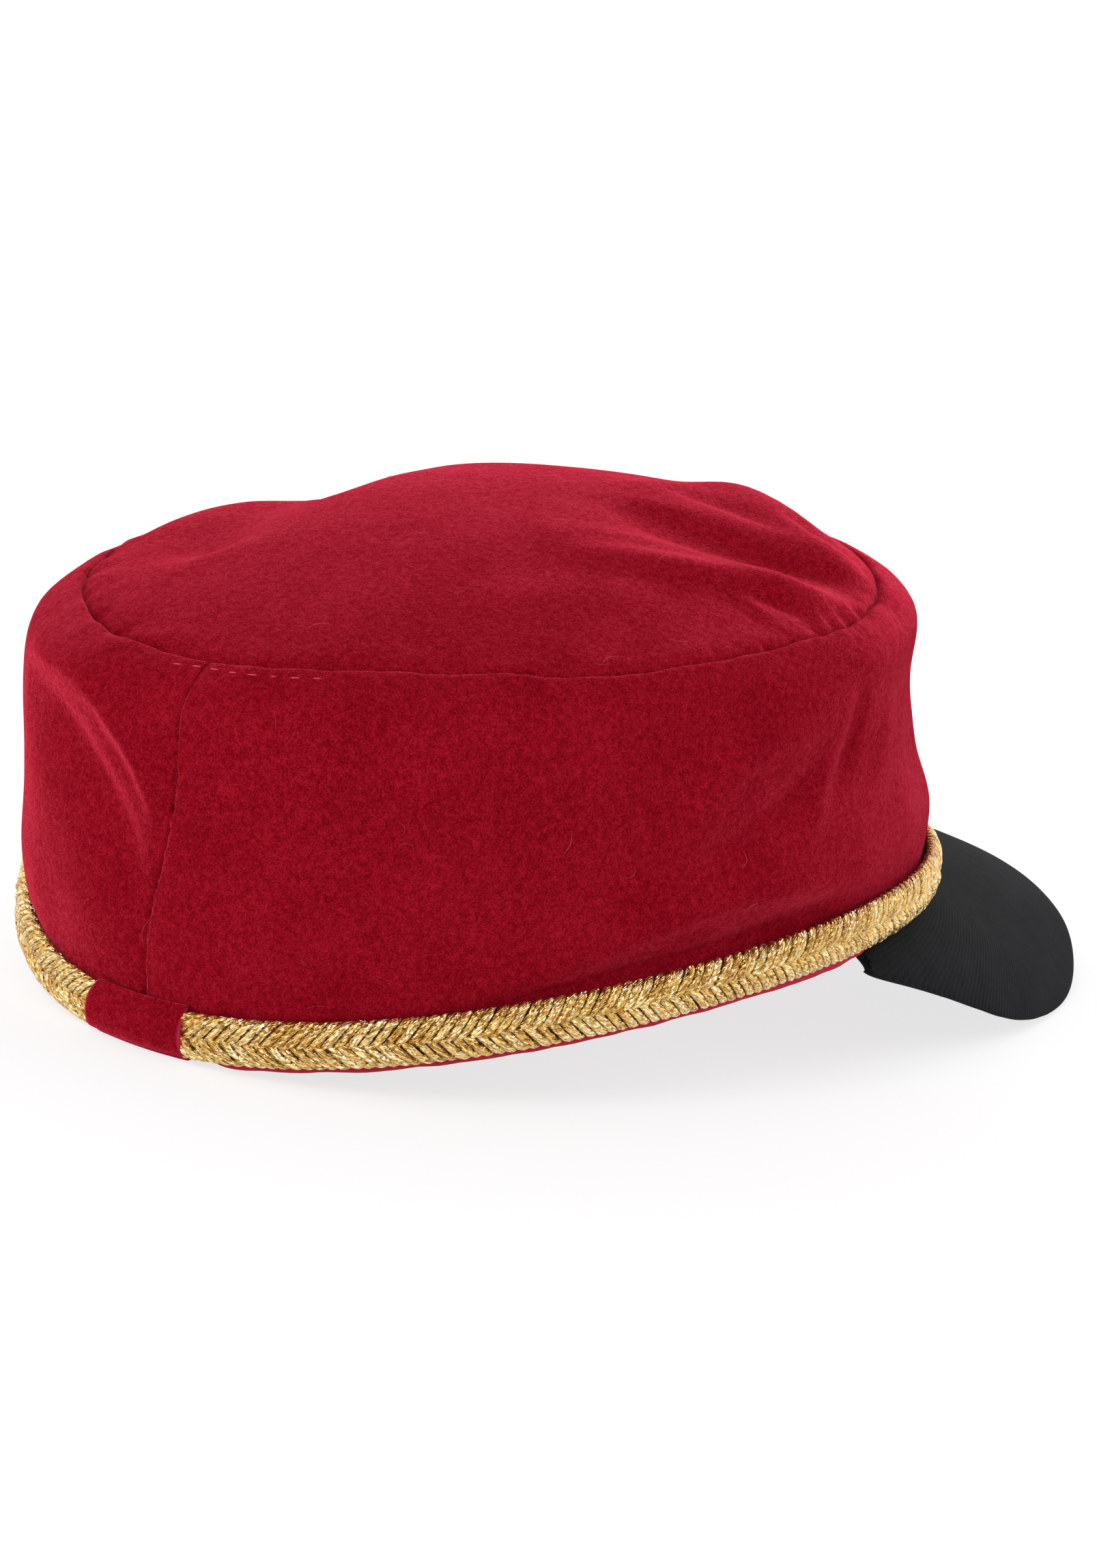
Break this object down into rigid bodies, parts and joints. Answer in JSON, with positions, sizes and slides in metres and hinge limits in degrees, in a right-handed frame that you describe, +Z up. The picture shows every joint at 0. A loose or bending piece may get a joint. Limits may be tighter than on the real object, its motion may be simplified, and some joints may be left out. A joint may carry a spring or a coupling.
{
  "type": "cadet cap",
  "caption": "Soft round cadet cap of thick wool felt with a domed top, a metallic braid round its hem, a small felt tab at the back and an arched visor.",
  "frame": {"origin": "on the ground under the middle of the cap's box, as it rests on a table", "axes": "+Z up from the table, -Y towards the visor, -X towards the wearer's right hand"},
  "size_m": [0.1708, 0.2712, 0.1061],
  "materials": {
    "felt": "deep crimson wool felt with a short brushed nap",
    "braid": "gold metallised gimp, laid in two slanting rows",
    "visor_cloth": "matt black cloth over stiff board"
  },
  "bodies": {
    "root": {"crown_wall": "felt", "crown_top": "felt", "braid": "braid", "back_tab": "felt", "visor": "visor_cloth"}
  },
  "joints": []
}
